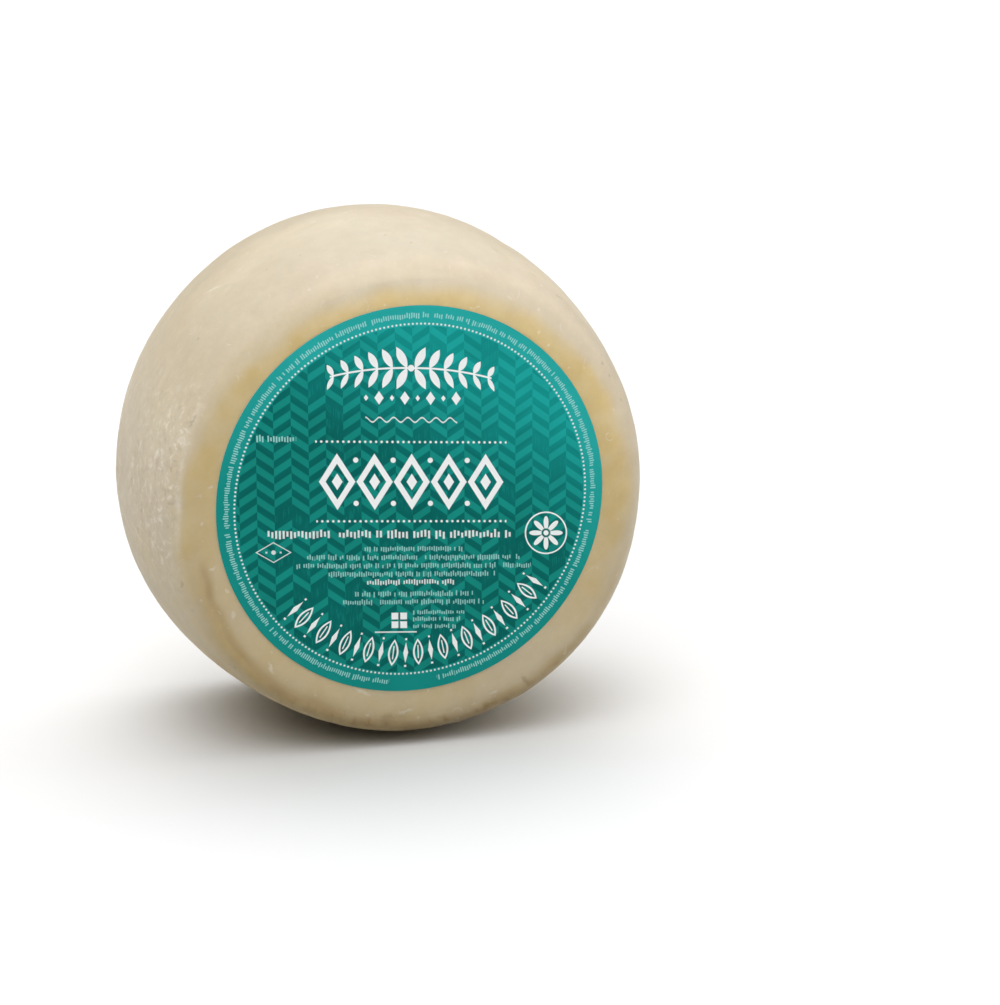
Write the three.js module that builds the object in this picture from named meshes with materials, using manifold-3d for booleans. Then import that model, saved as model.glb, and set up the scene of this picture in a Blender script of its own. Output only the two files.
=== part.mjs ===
// Goat cheese wheel with a round paper label, standing on its edge.
// Millimetres, +Z up. The wheel's axis is horizontal, along Y, and its labelled
// face looks along -Y. The origin is on the floor, under the middle of the
// object's bounding box, in the small flat spot that the wheel stands on.
import * as THREE from "three";
import { mergeVertices } from "three/addons/utils/BufferGeometryUtils.js";
import Module from "manifold-3d";

// ---- driving dimensions, mm ------------------------------------------------
const WHEEL_RADIUS = 92.5; // mean radius at the fullest part of the heel
const WHEEL_THICKNESS = 96; // flat face to flat face
const HEEL_BULGE = 7.2; // how far the heel falls from the middle to a face plane
const SHOULDER_RADIUS = 7.5; // mean rounding between the heel and each face
const SHOULDER_SWING = 1.7; // softer than the mean by this near the top, tighter low down
const SHOULDER_SOFTEST = 75; // where it is softest, degrees from +X towards +Z
const FLAT_SPOT_DEPTH = 1.0; // how far the wheel has settled at the bottom
const LABEL_RADIUS = 70.1; // round paper label, centred on the front face
const LABEL_THICKNESS = 0.3;
const GLUE_GAP = 0.05; // between the face and the label

// The wheel was pressed in a cloth and turned by hand, so it isn't quite round:
// each lobe is [waves round the wheel, height in mm, angle of a crest in degrees],
// the angle counted from +X towards +Z.
const LOBES = [
  [2, 0.12, -72],
  [3, 0.8, -45.3],
  [4, 0.17, 14.3],
  [5, 0.08, -31.3],
  [6, 0.17, 21.7],
];
// Slight sideways lean of the heel's belly, different round the wheel.
const HEEL_WANDER = 0.35;

// ---- mesh fineness ---------------------------------------------------------
const ROUND_STEPS = 96;
const HEEL_STEPS = 10;
const SHOULDER_STEPS = 4;

const HALF = WHEEL_THICKNESS / 2;

// Height of the heel's curve at a distance y from the middle of the wheel.
function heelRadius(y) {
  return WHEEL_RADIUS - HEEL_BULGE * (y / HALF) ** 2;
}

// The rounding touches the heel's curve and the face plane. This finds where it
// meets the heel, by halving the interval.
function shoulder(radius) {
  const centreY = HALF - radius;
  let low = 0,
    high = HALF;
  for (let i = 0; i < 60; i++) {
    const y = (low + high) / 2;
    const slope = (-2 * HEEL_BULGE * y) / HALF ** 2;
    if (y + (radius * slope) / Math.hypot(1, slope) < centreY) low = y;
    else high = y;
  }
  const meetY = (low + high) / 2;
  const slope = (-2 * HEEL_BULGE * meetY) / HALF ** 2;
  return {
    meetY,
    centreY,
    centreR: heelRadius(meetY) - radius / Math.hypot(1, slope),
    startAngle: Math.atan2(1, -slope),
  };
}

// How far the wheel's outline stands out from a true circle at an angle.
function outOfRound(angle) {
  let d = 0;
  for (const [waves, height, crest] of LOBES)
    d += height * Math.cos(waves * (angle - THREE.MathUtils.degToRad(crest)));
  return d;
}

// Half section of the wheel at an angle round its axis, from the middle of the
// front face over the heel to the middle of the back face: x is the radius, y
// runs along the wheel's axis. The section grows and shrinks round the wheel and
// its heel leans a little, so the wheel is uneven, but its faces stay flat.
function section(angle) {
  const radius =
    SHOULDER_RADIUS +
    SHOULDER_SWING *
      Math.cos(angle - THREE.MathUtils.degToRad(SHOULDER_SOFTEST));
  const s = shoulder(radius);
  const half = [];
  for (let i = 0; i <= HEEL_STEPS / 2; i++) {
    const y = (s.meetY * i) / (HEEL_STEPS / 2);
    half.push([heelRadius(y), y]);
  }
  for (let i = 1; i <= SHOULDER_STEPS; i++) {
    const a = s.startAngle * (1 - i / SHOULDER_STEPS);
    half.push([
      s.centreR + radius * Math.sin(a),
      s.centreY + radius * Math.cos(a),
    ]);
  }
  const grow = 1 + outOfRound(angle) / WHEEL_RADIUS;
  const uneven = ([r, y]) => {
    const lean =
      Math.cos((Math.PI / 2) * (y / HALF)) *
      Math.sin((2 * Math.PI * y) / WHEEL_THICKNESS) *
      Math.sin(2 * angle);
    return new THREE.Vector2(r * grow + HEEL_WANDER * lean, y);
  };
  return [
    new THREE.Vector2(0, -HALF),
    ...half
      .slice(1)
      .reverse()
      .map(([r, y]) => uneven([r, -y])),
    ...half.map(uneven),
    new THREE.Vector2(0, HALF),
  ];
}

// The wheel as turned, before it settles: a lathe shape whose every column of
// points is then set to the section at that column's own angle.
function turnedWheel() {
  const geometry = new THREE.LatheGeometry(section(0), ROUND_STEPS);
  const p = geometry.getAttribute("position");
  const count = section(0).length;
  for (let column = 0; column <= ROUND_STEPS; column++) {
    const turn = ((column % ROUND_STEPS) / ROUND_STEPS) * 2 * Math.PI;
    const angle = Math.PI / 2 - turn; // the lathe turns from +Z towards +X
    section(angle).forEach(({ x: r, y }, j) =>
      p.setXYZ(
        column * count + j,
        r * Math.cos(angle),
        y,
        r * Math.sin(angle),
      ),
    );
  }
  return geometry;
}

const wasm = await Module();
wasm.setup();

function toSolid(geometry) {
  const g = geometry.clone();
  g.deleteAttribute("normal");
  g.deleteAttribute("uv");
  const m = mergeVertices(g, 1e-4);
  return new wasm.Manifold(
    new wasm.Mesh({
      numProp: 3,
      vertProperties: new Float32Array(m.getAttribute("position").array),
      triVerts: new Uint32Array(m.index.array),
    }),
  );
}

function toGeometry(solid) {
  const mesh = solid.getMesh();
  const g = new THREE.BufferGeometry();
  g.setAttribute(
    "position",
    new THREE.BufferAttribute(new Float32Array(mesh.vertProperties), 3),
  );
  g.setIndex(new THREE.BufferAttribute(new Uint32Array(mesh.triVerts), 1));
  g.computeVertexNormals();
  return g;
}

// ---- the wheel -------------------------------------------------------------
// The floor plane, and the block below it that takes the flat spot off the heel.
const FLOOR = -(WHEEL_RADIUS + outOfRound(-Math.PI / 2)) + FLAT_SPOT_DEPTH;
const under = new THREE.BoxGeometry(
  3 * WHEEL_RADIUS,
  2 * WHEEL_THICKNESS,
  WHEEL_RADIUS,
);
under.translate(0, 0, FLOOR - WHEEL_RADIUS / 2);
const wheelGeometry = toGeometry(
  toSolid(turnedWheel()).subtract(toSolid(under)),
);

const wheel = new THREE.Mesh(
  wheelGeometry,
  new THREE.MeshStandardMaterial({
    color: new THREE.Color(0xe9dcc0),
    roughness: 0.5,
    metalness: 0,
  }),
);
wheel.name = "cheese_wheel";

// ---- the label -------------------------------------------------------------
const label = new THREE.Mesh(
  new THREE.CylinderGeometry(
    LABEL_RADIUS,
    LABEL_RADIUS,
    LABEL_THICKNESS,
    ROUND_STEPS,
  ),
  new THREE.MeshStandardMaterial({
    color: new THREE.Color(0x14857b),
    roughness: 0.45,
    metalness: 0,
  }),
);
label.name = "front_label";
label.position.set(0, -HALF - GLUE_GAP - LABEL_THICKNESS / 2, 0);

// ---- the object in its own frame -------------------------------------------
const cheese = new THREE.Group();
cheese.add(wheel, label);
cheese.updateMatrixWorld(true);
const box = new THREE.Box3().setFromObject(cheese, true);
cheese.position.set(
  -(box.min.x + box.max.x) / 2,
  -(box.min.y + box.max.y) / 2,
  -box.min.z,
);

const part = new THREE.Group();
part.add(cheese);
part.updateMatrixWorld(true);

export default part;
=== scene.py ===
import math

import bpy
import numpy as np
from mathutils import Matrix, Vector


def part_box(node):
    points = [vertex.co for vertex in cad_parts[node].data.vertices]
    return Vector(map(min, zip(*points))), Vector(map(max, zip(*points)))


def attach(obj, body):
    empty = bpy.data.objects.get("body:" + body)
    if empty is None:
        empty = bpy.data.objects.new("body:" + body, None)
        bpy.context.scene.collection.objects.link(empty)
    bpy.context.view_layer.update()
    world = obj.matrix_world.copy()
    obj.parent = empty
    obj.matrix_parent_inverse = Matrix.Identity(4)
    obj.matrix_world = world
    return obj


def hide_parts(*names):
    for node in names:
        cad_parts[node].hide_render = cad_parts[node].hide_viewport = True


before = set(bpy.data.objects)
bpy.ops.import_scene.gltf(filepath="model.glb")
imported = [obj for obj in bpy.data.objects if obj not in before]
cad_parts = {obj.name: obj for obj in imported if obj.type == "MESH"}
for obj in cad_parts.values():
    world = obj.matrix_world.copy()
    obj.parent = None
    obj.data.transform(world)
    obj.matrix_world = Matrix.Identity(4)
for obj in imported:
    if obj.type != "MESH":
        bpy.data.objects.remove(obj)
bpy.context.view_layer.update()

# ---------------------------------------------------------------------------
# Where things are. The wheel's axis is horizontal, along Y; its labelled face
# looks along -Y.
# ---------------------------------------------------------------------------
label_low, label_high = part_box("front_label")
wheel_low, wheel_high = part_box("cheese_wheel")
CX = (label_low.x + label_high.x) / 2
CZ = (label_low.z + label_high.z) / 2
CY = (wheel_low.y + wheel_high.y) / 2
LABEL_R = (label_high.x - label_low.x) / 2

MM = 0.001
RADIUS = 92.5
HALF = 48.0
BULGE = 7.2
SHOULDER, SHOULDER_SWING, SHOULDER_SOFTEST = 7.5, 1.7, 75.0
LOBES = [(2, 0.12, -72), (3, 0.8, -45.3), (4, 0.17, 14.3), (5, 0.08, -31.3), (6, 0.17, 21.7)]
WANDER = 0.35

rng = np.random.default_rng(20417)


# ---------------------------------------------------------------------------
# Smooth noise on arrays of points (in mm), seeded.
# ---------------------------------------------------------------------------
PERM = np.concatenate([np.random.default_rng(7).permutation(512)] * 2)
GRAD = np.random.default_rng(11).normal(size=(512, 3))
GRAD /= np.linalg.norm(GRAD, axis=1, keepdims=True)


def noise(p, size, seed=0):
    """Gradient noise in about -1..1 with features of the given size."""
    q = p / size + np.array([17.13, 5.71, 91.37]) * (seed + 1)
    i = np.floor(q).astype(np.int64)
    f = q - i
    w = f * f * f * (f * (f * 6 - 15) + 10)
    out = 0.0
    for dx in (0, 1):
        for dy in (0, 1):
            for dz in (0, 1):
                c = i + np.array([dx, dy, dz])
                h = PERM[(PERM[(PERM[c[..., 0] & 511] + c[..., 1]) & 511] + c[..., 2]) & 511]
                g = GRAD[h]
                d = f - np.array([dx, dy, dz])
                part = (g * d).sum(-1)
                wx = w[..., 0] if dx else 1 - w[..., 0]
                wy = w[..., 1] if dy else 1 - w[..., 1]
                wz = w[..., 2] if dz else 1 - w[..., 2]
                out = out + part * wx * wy * wz
    return out * 1.6


def smooth(a, b, x):
    t = np.clip((x - a) / (b - a), 0, 1)
    return t * t * (3 - 2 * t)


def bell(x, centre, width):
    return np.exp(-(((x - centre) / width) ** 2))


def turn_between(a, b):
    """Signed angle from b to a, in degrees, in -180..180."""
    return (a - b + 180) % 360 - 180


# ---------------------------------------------------------------------------
# The wheel's section, as in the solid model: heel, shoulders and flat faces.
# ---------------------------------------------------------------------------
def out_of_round(a):
    return sum(h * np.cos(n * (a - math.radians(c))) for n, h, c in LOBES)


def shoulder(radius):
    centre_y = HALF - radius
    low, high = 0.0, HALF
    for _ in range(50):
        y = (low + high) / 2
        slope = -2 * BULGE * y / HALF**2
        if y + radius * slope / math.hypot(1, slope) < centre_y:
            low = y
        else:
            high = y
    meet = (low + high) / 2
    slope = -2 * BULGE * meet / HALF**2
    centre_r = RADIUS - BULGE * (meet / HALF) ** 2 - radius / math.hypot(1, slope)
    return meet, centre_y, centre_r, math.atan2(1, -slope)


AROUND = 480
FRONT_R = np.array([0.12, 0.3, 0.48, 0.62, 0.73, 0.8, 0.84, 0.865, 0.885, 0.9, 0.915, 0.93, 0.943, 0.956, 0.968, 0.98, 0.99, 1.0])
BACK_R = np.concatenate([[0.06], np.linspace(0.12, 1.0, 46)])
SHOULDER_ROWS = 10
HEEL_ROWS = 78
STEPS = (np.arange(400) + 0.5) / 400


def shoulder_curve(edge_r, quick):
    """The shoulder that leaves the face at edge_r and runs into the heel: where it meets the heel and its points (radius, y).
    quick is 1 for a round shoulder and less for one that turns sooner after the face's edge."""
    low, high = 20.0, HALF - 1.0
    for _ in range(40):
        meet = (low + high) / 2
        turn = math.atan2(1, 2 * BULGE * meet / HALF**2)
        t = turn * STEPS**quick
        length = (HALF - meet) / np.sin(t).mean()
        if RADIUS - BULGE * (meet / HALF) ** 2 - length * np.cos(t).mean() < edge_r:
            low = meet
        else:
            high = meet
    r = edge_r + length * np.concatenate([[0], np.cumsum(np.cos(t))]) / 400
    y = HALF - length * np.concatenate([[0], np.cumsum(np.sin(t))]) / 400
    return meet, r, y


def section(angle):
    """Points (radius, y) from just beside the front face's centre to just beside the back face's, and for each a place on the section:
    0..1 front face, 1..2 front shoulder, 2..3 heel, 3..4 back shoulder, 4..5 back face."""
    rad = SHOULDER + SHOULDER_SWING * math.cos(angle - math.radians(SHOULDER_SOFTEST))
    edge_r = shoulder(rad)[2]
    # the front shoulder turns soonest at the top of the wheel
    meet, sr, sy = shoulder_curve(edge_r, 0.70 - 0.32 * max(0.0, math.sin(angle)) ** 2)
    back_meet, br, by = shoulder_curve(edge_r, 0.88)
    rows = [(edge_r * k, -HALF, k) for k in FRONT_R]
    picks = [(i / SHOULDER_ROWS) ** 1.5 for i in range(1, SHOULDER_ROWS + 1)]
    for k in picks:
        rows.append((np.interp(k * 400, np.arange(401), sr), -np.interp(k * 400, np.arange(401), sy), 1 + k))
    for i in range(1, HEEL_ROWS + 1):
        k = i / HEEL_ROWS
        y = -meet + (meet + back_meet) * k
        rows.append((RADIUS - BULGE * (y / HALF) ** 2, y, 2 + k))
    for k in [1 - q for q in picks[::-1][1:]] + [1.0]:
        rows.append((np.interp((1 - k) * 400, np.arange(401), br), np.interp((1 - k) * 400, np.arange(401), by), 3 + k))
    rows += [(edge_r * k, HALF, 5 - k) for k in BACK_R[::-1][1:]]
    return np.array(rows)


ROWS = len(section(0.0))
ANGLES = np.arange(AROUND) / AROUND * 2 * math.pi


def wheel_grid():
    """The even wheel: points (AROUND, ROWS, 3) in mm about the wheel's middle, outward normals, and the place on the section."""
    sec = np.array([section(a) for a in ANGLES])
    r, y, place = sec[..., 0], sec[..., 1], sec[..., 2]
    a = ANGLES[:, None]
    lean = np.cos(math.pi / 2 * y / HALF) * np.sin(math.pi * y / HALF) * np.sin(2 * a)
    r = r * (1 + out_of_round(a) / RADIUS) + WANDER * lean
    p = np.stack([r * np.cos(a), y, r * np.sin(a)], -1)
    along = np.gradient(p, axis=1)
    around = np.roll(p, -1, 0) - np.roll(p, 1, 0)
    n = np.cross(along, around)
    n /= np.linalg.norm(n, axis=-1, keepdims=True) + 1e-12
    outward = p * np.array([1.0, 1.6, 1.0])
    n *= np.sign((n * outward).sum(-1, keepdims=True))
    return p, n, place, r


P, N, PLACE, R_AT = wheel_grid()
DEG = np.degrees(ANGLES)[:, None] + 0 * PLACE
# Width along the section in mm, from the front face's edge (positive towards the heel), and the same from the back.
step = np.linalg.norm(np.diff(P, axis=1), axis=-1)
run = np.concatenate([np.zeros((AROUND, 1)), np.cumsum(step, 1)], 1)
front_edge = np.take_along_axis(run, np.abs(PLACE - 1).argmin(1)[:, None], 1)
back_edge = np.take_along_axis(run, np.abs(PLACE - 4).argmin(1)[:, None], 1)
FROM_FRONT = run - front_edge
FROM_BACK = back_edge - run
ON_FACE = (PLACE <= 1) | (PLACE >= 4)
NEAREST_EDGE = np.where(FROM_FRONT + FROM_BACK > 0, np.minimum(np.abs(FROM_FRONT), np.abs(FROM_BACK)), 0)
EDGE = np.where(FROM_FRONT < FROM_BACK, FROM_FRONT, FROM_BACK)


def face_relief(x, z, back):
    """Height of a face over its flat plane, in mm, outward: it rolls off gently towards its edge and has a few soft waves.
    x and z are from the face's centre."""
    r = np.hypot(x, z) / 80.0
    p = np.stack([x, 0 * x + (60.0 if back else -60.0), z], -1)
    roll = -1.1 * np.clip((r - 0.72) / 0.28, 0, 1.1) ** 2
    return roll + 0.14 * noise(p, 34, 3) + 0.05 * noise(p, 13, 4)


# Distance round the wheel in mm, from its lowest point.
AROUND_MM = np.radians((DEG + 90) % 360) * 90.0


def round_curve(points):
    """A smooth closed curve through (angle in degrees, value) pairs, read at every point of the wheel."""
    at = np.array([q[0] for q in points] + [points[0][0] + 360.0])
    val = np.array([q[1] for q in points] + [points[0][1]])
    k = (DEG - at[0]) % 360 + at[0]
    i = np.clip(np.searchsorted(at, k, side="right") - 1, 0, len(points) - 1)
    t = (k - at[i]) / (at[i + 1] - at[i])
    t = t * t * (3 - 2 * t)
    return val[i] * (1 - t) + val[i + 1] * t


# Where the crease between face and shoulder runs at the lower left and along the bottom, in mm from the face's edge.
CREASE_AT = round_curve([(180, -5.0), (197, -4.0), (205, -2.7), (214, -1.8), (222, -0.5), (240, 1.0), (255, 2.5), (270, 3.0), (300, 3.5)])


def chalky_place():
    """1 where the rind is scuffed and chalky: the left of the heel and of the front shoulder."""
    near = bell(turn_between(DEG, 173), 0, 15) * smooth(1.5, 6, EDGE) * smooth(34, 12, EDGE)
    far = bell(turn_between(DEG, 176), 0, 22) * smooth(3, 10, EDGE) * smooth(66, 40, EDGE)
    return np.clip((near + 0.8 * far) * (0.9 + 0.5 * noise(P, 11, 14)), 0, 1) * (P[..., 1] < 30)


def relief():
    """How far the surface stands proud of the even wheel, in mm, before the fine grain that the material adds."""
    h = np.zeros(PLACE.shape)
    back = PLACE > 2.5
    onto_face = smooth(1.35, 0.9, np.where(back, 5 - PLACE, PLACE))  # 1 on the faces, 0 on the heel
    face = face_relief(P[..., 0], P[..., 2], False) * ~back + face_relief(P[..., 0], P[..., 2], True) * back
    heel = 0.22 * noise(P, 38, 5) + 0.12 * noise(P, 15, 6) + 0.05 * noise(P, 6.5, 7)
    h += face * onto_face + heel * (1 - onto_face)
    # the front shoulder is a little fuller at the lower right, and creased at the lower left
    front = ~back
    h += 0.45 * bell(turn_between(DEG, 300), 0, 34) * bell(EDGE, 8.5, 6.0) * front
    h -= 0.20 * bell(turn_between(DEG, 210), 0, 22) * bell(EDGE - CREASE_AT + 0.8 * noise(P, 12, 8), 0, 1.5) * front
    # rougher along the bottom and at the upper right of the heel
    rough = 0.9 * bell(turn_between(DEG, 270), 0, 42) * smooth(-3, 2, EDGE) * smooth(26, 10, EDGE)
    rough = rough + 0.8 * bell(turn_between(DEG, 55), 0, 16) * smooth(6, 14, EDGE) + 0.25
    h += rough * (0.10 * noise(P, 4.2, 15) + 0.12 * noise(P, 8.5, 16)) * (1 - onto_face * 0.6)
    # the chalky place on the left is rougher, in short strokes round the wheel
    stroke = noise(np.stack([AROUND_MM * 0.30, P[..., 1], 0 * DEG], -1), 2.2, 9)
    h += (0.06 * stroke + 0.18 * noise(P, 3.4, 17)) * chalky_place()
    # soft handling dents
    for a, y, ra, ry, depth in DENTS:
        da = np.radians(turn_between(DEG, a)) * RADIUS
        h -= depth * np.exp(-((da / ra) ** 2) - ((P[..., 1] - y) / ry) ** 2) * (1 - onto_face)
    # small pits in the rind
    for c, rad, depth in PITS:
        d = np.linalg.norm(P - c, axis=-1)
        h -= depth * smooth(rad, rad * 0.25, d)
    return h


DENTS = [
    (178, -26, 5, 9, 0.35), (171, -18, 3.2, 7, 0.28), (186, -33, 3.5, 6, 0.3), (165, -34, 4, 5, 0.25),
    (192, -12, 6, 10, 0.3), (158, -8, 7, 12, 0.25), (60, -5, 9, 14, 0.35), (38, -24, 5, 7, 0.25),
    (110, 12, 12, 16, 0.4), (235, 0, 10, 20, 0.35), (300, 18, 9, 14, 0.35), (345, -10, 8, 12, 0.3),
    (20, 28, 8, 9, 0.3), (140, 30, 9, 8, 0.35), (210, 28, 7, 9, 0.3),
]
PITS = []
for _ in range(120):
    i, j = rng.integers(AROUND), rng.integers(18, ROWS - 4)
    PITS.append((P[i, j] + rng.normal(0, 0.2, 3), rng.uniform(1.3, 2.4), rng.uniform(0.08, 0.22)))


def finish_points(h):
    q = P + N * h[..., None]
    q = q * MM + np.array([CX, CY, CZ])
    # The flat spot that the wheel stands on: what reaches the floor lies on it, with a soft edge round it.
    soft = 0.0006
    z = q[..., 2]
    q[..., 2] = np.where(z < soft, soft * np.exp(np.minimum(z - soft, 0) / soft), z)
    q[..., 2] = np.where(z < -0.0002, np.minimum(q[..., 2], 0.00012), q[..., 2])
    return q


H = relief()
Q = finish_points(H)


# ---------------------------------------------------------------------------
# Where the rind is golden, brownish or chalky, and where light and shade are painted into it, as amounts for its
# material.
# ---------------------------------------------------------------------------
def colour_amounts():
    e = EDGE + 1.5 * noise(P, 19, 21) + 0.8 * noise(P, 7, 22)  # mm outward from the face's edge, wandering a little
    patchy = 1.0 + 0.20 * noise(P, 15, 23) + 0.14 * noise(P, 6, 24)
    # golden next to the label: where the gold has faded to half, and how strong it is
    half = round_curve([(0, 3.4), (15, 2.0), (30, 0.4), (60, -2.4), (95, -3.4), (130, -1.2), (148, 1.8), (165, 3.4), (180, 4.6), (196, 6.0), (222, 7.0), (245, 5.0), (300, 2.0), (335, 1.8)])
    force = round_curve([(0, 1.0), (35, 1.12), (75, 0.96), (115, 0.96), (138, 0.92), (152, 0.80), (168, 0.90), (180, 0.84), (200, 0.64), (215, 0.44), (245, 0.38), (300, 0.38), (335, 0.7)])
    gold = smooth(4.4, -5.2, e - half) * smooth(-36, -9, e) * force
    # the heel itself is yellower low down and at the lower left
    yellow = round_curve([(0, 0.16), (40, 0.05), (75, 0.0), (105, 0.04), (130, 0.14), (150, 0.15), (165, 0.09), (182, 0.16), (196, 0.36), (216, 0.62), (240, 0.68), (300, 0.44), (335, 0.18)])
    inner = smooth(-46, -13, EDGE)  # all of it dies out toward the middle of the face
    gold = np.maximum(gold, (yellow * inner + 0.16 * (1 - inner)) * (1 + 0.4 * noise(P, 24, 25)))
    # a soft warm fringe round the gold, and a golden belt outside the crease at the lower left
    fringe = round_curve([(0, 0.30), (30, 0.14), (60, 0.04), (95, 0.06), (120, 0.24), (145, 0.34), (180, 0.36), (230, 0.40), (300, 0.36)])
    gold = np.maximum(gold, fringe * smooth(15, 0, e) * inner)
    belt = round_curve([(0, 0.0), (178, 0.0), (190, 0.50), (200, 0.86), (222, 0.98), (240, 0.92), (300, 0.76), (325, 0.2)])
    gold = np.maximum(gold, belt * bell(e - CREASE_AT, 2.4, 4.4))
    # along the crease at the lower left and the shoulder at the bottom it is golden again, and browner; the brown band
    # is partly the crease's own colour and partly painted shade in the crease and on the shoulder that faces the floor
    low = round_curve([(0, 0.15), (90, 0.0), (165, 0.0), (190, 0.5), (205, 0.9), (300, 0.8), (330, 0.5)])
    brown_and_shade_depth = round_curve([(0, 0.0), (186, 0.0), (197, 0.62), (215, 0.70), (232, 0.74), (245, 0.60), (265, 0.62), (300, 0.52), (330, 0.1)])
    brown_and_shade_depth = brown_and_shade_depth * np.clip(0.92 + 0.5 * noise(P, 9, 26), 0.3, 1.4)
    wide = round_curve([(0, 4.0), (190, 2.1), (225, 2.2), (250, 3.2)])
    off = e - CREASE_AT
    gold = np.maximum(gold, 0.9 * np.exp(-((off / (wide + 0.8)) ** 2)) * low) * patchy
    brown_and_painted_shade = np.exp(-(((off - 0.3) / wide) ** 2)) * brown_and_shade_depth * patchy
    brown_and_painted_shade = np.maximum(brown_and_painted_shade, 0.26 * belt * bell(off, 2.0, 4.6))
    # brown specks along the shoulder at the bottom
    specks = smooth(0.18, 0.55, noise(P, 2.7, 41)) * bell(turn_between(DEG, 272), 0, 34) * smooth(-1, 3, EDGE) * smooth(11, 6, EDGE)
    brown_and_painted_shade = brown_and_painted_shade + 0.60 * specks
    # chalky bloom, mostly on the left of the heel, and a pale line along the edge of the gold there
    chalk = chalky_place() + 0.12 * smooth(0.2, 0.6, noise(P, 17, 33)) * smooth(4, 10, EDGE)
    line = round_curve([(0, 5.0), (150, 6.0), (158, 5.5), (164, 4.6), (172, 3.6), (179, 3.1), (190, 4.0)])
    on_line = smooth(146, 154, DEG) * smooth(192, 182, DEG) * (0.75 + 0.5 * noise(P, 5, 34)) * (P[..., 1] < 0)
    pale = bell(EDGE - line + 0.5 * noise(P, 6, 35), 0.0, 1.0) * on_line
    # painted light and shade: the face's ring and the shoulder are painted palest at the top, and darker low down and
    # at the lower left
    high = np.cos(np.radians(DEG - 78))
    ring = 0.97 + 0.24 * np.clip(high, 0, 1) - 0.02 * np.clip(-high, 0, 1)
    ring = 1.03 + (ring - 1.03) * smooth(-80, -22, EDGE)
    # the rim: painted lighter at the top, and painted shade along the crease low down
    painted_light_at_rim = 1.00 + 0.20 * np.clip(high, 0, 1) - 0.10 * low
    # the heel: painted lighter at the left, upper left and upper right, and painted shade at the lower left and along
    # the bottom
    side = 1.0 + 0.08 * bell(turn_between(DEG, 157), 0, 18) - 0.20 * bell(turn_between(DEG, 216), 0, 24) - 0.12 * bell(turn_between(DEG, 265), 0, 30)
    side = side + 0.07 * bell(turn_between(DEG, 50), 0, 15) + 0.08 * bell(turn_between(DEG, 118), 0, 26) * smooth(32, 48, EDGE)
    painted_light_and_tone = ring + (painted_light_at_rim - ring) * smooth(-5, 1, e)
    painted_light_and_tone = painted_light_and_tone + (side - painted_light_and_tone) * smooth(6, 14, e)
    # patches of painted light and shade: where round the wheel, how wide, where across the edge, how wide, how much
    # lighter
    for a, wa, c, wc, much in (
        (20, 14, -0.5, 6.0, 0.16), (52, 22, 0.5, 5.8, 0.13), (80, 26, -3.5, 5.5, 0.15), (110, 16, -5.0, 3.5, 0.11),
        (96, 22, 3.0, 3.2, 0.12), (122, 12, 0.5, 3.5, 0.08), (142, 13, 1.5, 4.0, 0.06), (124, 11, 8.0, 3.0, -0.04),
        (54, 18, 26.0, 13.0, 0.08), (96, 18, 20.0, 15.0, -0.04), (165, 10, 7.5, 4.0, 0.08), (167, 10, 22.0, 9.0, 0.06),
        (190, 10, 36.0, 14.0, 0.06), (238, 15, -8.0, 3.5, 0.07), (278, 20, -6.0, 4.0, 0.05), (205, 13, 1.5, 5.0, -0.07),
        (232, 18, 6.0, 5.0, -0.18), (258, 14, -1.0, 3.5, -0.06), (280, 42, 5.5, 4.6, -0.34),
    ):
        painted_light_and_tone = painted_light_and_tone * (1 + much * bell(turn_between(DEG, a), 0, wa) * bell(EDGE, c, wc))
    # painted shade along the bottom of the shoulder and heel
    painted_light_and_tone = painted_light_and_tone * (1 - 0.08 * bell(turn_between(DEG, 270), 0, 26) * smooth(-3, 2, EDGE))
    # small dull and pale patches
    painted_light_and_tone = painted_light_and_tone * (1 + 0.022 * noise(P, 9, 36) + 0.018 * noise(P, 4.5, 37))
    return np.clip(gold, 0, 1), np.clip(brown_and_painted_shade, 0, 1), np.clip(chalk, 0, 1), np.clip(pale, 0, 1), painted_light_and_tone


GOLD, BROWN_AND_PAINTED_SHADE, CHALK, PALE, PAINTED_LIGHT_AND_TONE = colour_amounts()


def make_mesh(name, verts, faces, smooth_faces=True):
    me = bpy.data.meshes.new(name)
    me.from_pydata(verts, [], faces)
    me.validate()
    me.update()
    if smooth_faces:
        me.shade_smooth()
    ob = bpy.data.objects.new(name, me)
    bpy.context.scene.collection.objects.link(ob)
    return ob


def grid_faces(rows, cols, wrap=True):
    """Quads of a (cols, rows) grid whose first axis runs round."""
    i = np.arange(cols if wrap else cols - 1)
    j = np.arange(rows - 1)
    a, b = np.meshgrid(i, j, indexing="ij")
    a2 = (a + 1) % cols
    return np.stack([a * rows + b, a * rows + b + 1, a2 * rows + b + 1, a2 * rows + b], -1).reshape(-1, 4)


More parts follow.
